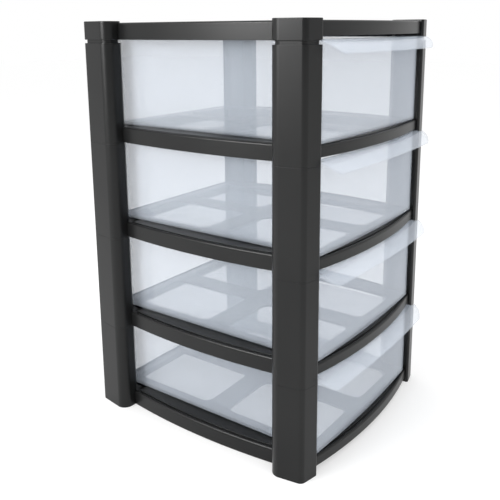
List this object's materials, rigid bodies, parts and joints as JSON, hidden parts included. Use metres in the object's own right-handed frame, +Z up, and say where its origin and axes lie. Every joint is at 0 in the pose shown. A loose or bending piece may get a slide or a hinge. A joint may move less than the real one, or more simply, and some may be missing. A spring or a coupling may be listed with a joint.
{
  "type": "drawer tower",
  "caption": "Desktop tower of clear pull-out drawers for letter-size papers in a dark frame of stacked corner posts, bowed rails and open shelves under a flat top panel.",
  "frame": {"origin": "centre of the bounding box at the level the tower stands on", "axes": "+Z up, front with the pull lips towards -Y, +X to the right of someone facing the front"},
  "size_m": [0.3132, 0.3468, 0.506],
  "materials": {
    "frame_plastic": "satin moulded polypropylene, charcoal",
    "drawer_plastic": "clear, faintly blue and milky, polished"
  },
  "bodies": {
    "frame": {"top_panel": "frame_plastic", "shelf_1": "frame_plastic", "shelf_2": "frame_plastic", "shelf_3": "frame_plastic", "base_frame": "frame_plastic", "post_front_left_1": "frame_plastic", "post_front_right_1": "frame_plastic", "post_rear_left_1": "frame_plastic", "post_rear_right_1": "frame_plastic", "post_front_left_2": "frame_plastic", "post_front_right_2": "frame_plastic", "post_rear_left_2": "frame_plastic", "post_rear_right_2": "frame_plastic", "post_front_left_3": "frame_plastic", "post_front_right_3": "frame_plastic", "post_rear_left_3": "frame_plastic", "post_rear_right_3": "frame_plastic", "post_front_left_4": "frame_plastic", "post_front_right_4": "frame_plastic", "post_rear_left_4": "frame_plastic", "post_rear_right_4": "frame_plastic"},
    "drawer_1": {"drawer_1": "drawer_plastic"},
    "drawer_2": {"drawer_2": "drawer_plastic"},
    "drawer_3": {"drawer_3": "drawer_plastic"},
    "drawer_4": {"drawer_4": "drawer_plastic"}
  },
  "joints": [
    {"name": "drawer_1_slide", "type": "slide", "parent": "frame", "child": "drawer_1", "axis": [0, -1, 0], "range_m": [0, 0.24]},
    {"name": "drawer_2_slide", "type": "slide", "parent": "frame", "child": "drawer_2", "axis": [0, -1, 0], "range_m": [0, 0.24]},
    {"name": "drawer_3_slide", "type": "slide", "parent": "frame", "child": "drawer_3", "axis": [0, -1, 0], "range_m": [0, 0.24]},
    {"name": "drawer_4_slide", "type": "slide", "parent": "frame", "child": "drawer_4", "axis": [0, -1, 0], "range_m": [0, 0.24]}
  ]
}
